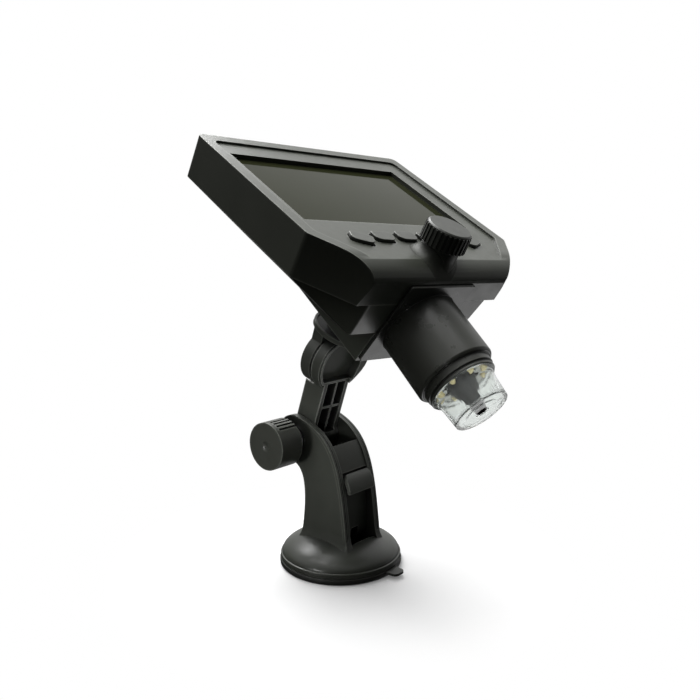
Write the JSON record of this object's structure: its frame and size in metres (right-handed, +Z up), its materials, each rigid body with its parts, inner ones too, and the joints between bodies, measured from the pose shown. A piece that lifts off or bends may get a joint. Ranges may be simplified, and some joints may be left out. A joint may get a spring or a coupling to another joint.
{
  "type": "digital microscope",
  "caption": "Desktop digital microscope with a built-in screen, control keys and a focus knob over a lit lens tube, on a swing arm with a suction foot.",
  "frame": {"origin": "centre of the suction foot's underside, on the table", "axes": "+Z up, the user sits at -Y, +X to the right along the screen"},
  "size_m": [0.1266, 0.1321, 0.1977],
  "materials": {
    "body_plastic": "near-black moulded plastic with a soft sheen",
    "dark_plastic": "black moulded plastic",
    "rubber": "black soft rubber",
    "key_mat": "grey silicone",
    "steel": "zinc-plated steel",
    "brass": "turned brass",
    "screen_glass": "glossy dark screen cover",
    "display": "tinplate frame",
    "ribbon": "amber polyimide",
    "circuit_board": "green solder mask",
    "lamp_board": "white solder mask",
    "lamps": "clear lamps with a yellow phosphor",
    "clear_plastic": "clear moulded plastic",
    "lens_glass": "coated glass",
    "battery_foil": "silver pouch",
    "sensor_chip": "dark glass over the chip"
  },
  "bodies": {
    "base": {"suction_cup": "rubber", "stand_base": "body_plastic", "lever_pin": "steel", "clamp_nut": "steel"},
    "stud": {"suction_stud": "steel"},
    "lever": {"suction_lever": "body_plastic", "lever_cam": "brass"},
    "clamp": {"clamp_knob": "dark_plastic", "clamp_bolt": "steel", "clamp_washer": "steel"},
    "arm": {"swing_arm": "body_plastic", "hinge_bolt": "steel", "hinge_nut": "steel"},
    "mount": {"mount_plate": "body_plastic", "mount_stud": "steel", "mount_pad": "rubber"},
    "focus": {"focus_knob": "dark_plastic", "focus_shaft": "steel", "focus_pinion": "brass", "shaft_clip": "steel"},
    "lens": {"lens_barrel": "dark_plastic", "objective_lens": "lens_glass", "sensor_board": "circuit_board", "image_sensor": "sensor_chip", "sensor_ribbon": "ribbon"},
    "key_1_body": {"key_1": "dark_plastic"},
    "key_2_body": {"key_2": "dark_plastic"},
    "key_3_body": {"key_3": "dark_plastic"},
    "key_4_body": {"key_4": "dark_plastic"},
    "key_5_body": {"key_5": "dark_plastic"},
    "key_6_body": {"key_6": "dark_plastic"},
    "head": {"front_shell": "body_plastic", "rear_cover": "body_plastic", "screen_glass": "screen_glass", "lcd_module": "display", "lcd_ribbon": "ribbon", "main_board": "circuit_board", "key_switches": "dark_plastic", "key_pad": "key_mat", "battery": "battery_foil", "usb_socket": "steel", "card_slot": "steel", "tripod_insert": "brass", "case_screws": "steel", "board_screws": "steel", "tube_housing": "body_plastic", "guide_sleeve": "dark_plastic", "nose_ring": "dark_plastic", "led_board": "lamp_board", "leds": "lamps", "clear_cap": "clear_plastic"}
  },
  "joints": [
    {"name": "arm_swing", "type": "hinge", "parent": "base", "child": "arm", "pos_m": [0, 0.019, 0.059], "axis": [1, 0, 0], "range_deg": [-60, 35]},
    {"name": "mount_tilt", "type": "hinge", "parent": "arm", "child": "mount", "pos_m": [0, 0.006, 0.0972], "axis": [0, -0.9466, -0.3223], "range_deg": [-35, 35]},
    {"name": "head_swivel", "type": "hinge", "parent": "mount", "child": "head", "pos_m": [0, 0.006, 0.0972], "axis": [0, -0.4802, 0.8771], "range_deg": [-90, 90]},
    {"name": "lever_swing", "type": "hinge", "parent": "base", "child": "lever", "pos_m": [0, 0.001, 0.018], "axis": [1, 0, 0], "range_deg": [0, 65]},
    {"name": "stud_lift", "type": "slide", "parent": "base", "child": "stud", "axis": [0, 0, 1], "range_m": [0, 0.00181]},
    {"name": "clamp_turn", "type": "hinge", "parent": "base", "child": "clamp", "pos_m": [0, 0.019, 0.059], "axis": [-1, 0, 0], "range_deg": [0, 360]},
    {"name": "focus_turn", "type": "hinge", "parent": "head", "child": "focus", "pos_m": [-0.00291, -0.05618, 0.149], "axis": [0, -0.4802, 0.8771], "range_deg": [0, 216]},
    {"name": "lens_travel", "type": "slide", "parent": "head", "child": "lens", "axis": [0.0953, 0.7483, 0.6565], "range_m": [0, 0.01159]},
    {"name": "key_1_press", "type": "slide", "parent": "head", "child": "key_1_body", "axis": [0, 0.4802, -0.8771], "range_m": [0, 0.0005], "stiffness_N_per_m": 1500, "springref_m": -0.0003},
    {"name": "key_2_press", "type": "slide", "parent": "head", "child": "key_2_body", "axis": [0, 0.4802, -0.8771], "range_m": [0, 0.0005], "stiffness_N_per_m": 1500, "springref_m": -0.0003},
    {"name": "key_3_press", "type": "slide", "parent": "head", "child": "key_3_body", "axis": [0, 0.4802, -0.8771], "range_m": [0, 0.0005], "stiffness_N_per_m": 1500, "springref_m": -0.0003},
    {"name": "key_4_press", "type": "slide", "parent": "head", "child": "key_4_body", "axis": [0, 0.4802, -0.8771], "range_m": [0, 0.0005], "stiffness_N_per_m": 1500, "springref_m": -0.0003},
    {"name": "key_5_press", "type": "slide", "parent": "head", "child": "key_5_body", "axis": [0, 0.4802, -0.8771], "range_m": [0, 0.0005], "stiffness_N_per_m": 1500, "springref_m": -0.0003},
    {"name": "key_6_press", "type": "slide", "parent": "head", "child": "key_6_body", "axis": [0, 0.4802, -0.8771], "range_m": [0, 0.0005], "stiffness_N_per_m": 1500, "springref_m": -0.0003}
  ],
  "couplings": [
    {"joint": "stud_lift", "follows": "lever_swing", "m_per_rad": 0.0015867},
    {"joint": "lens_travel", "follows": "focus_turn", "m_per_rad": 0.0030728}
  ]
}
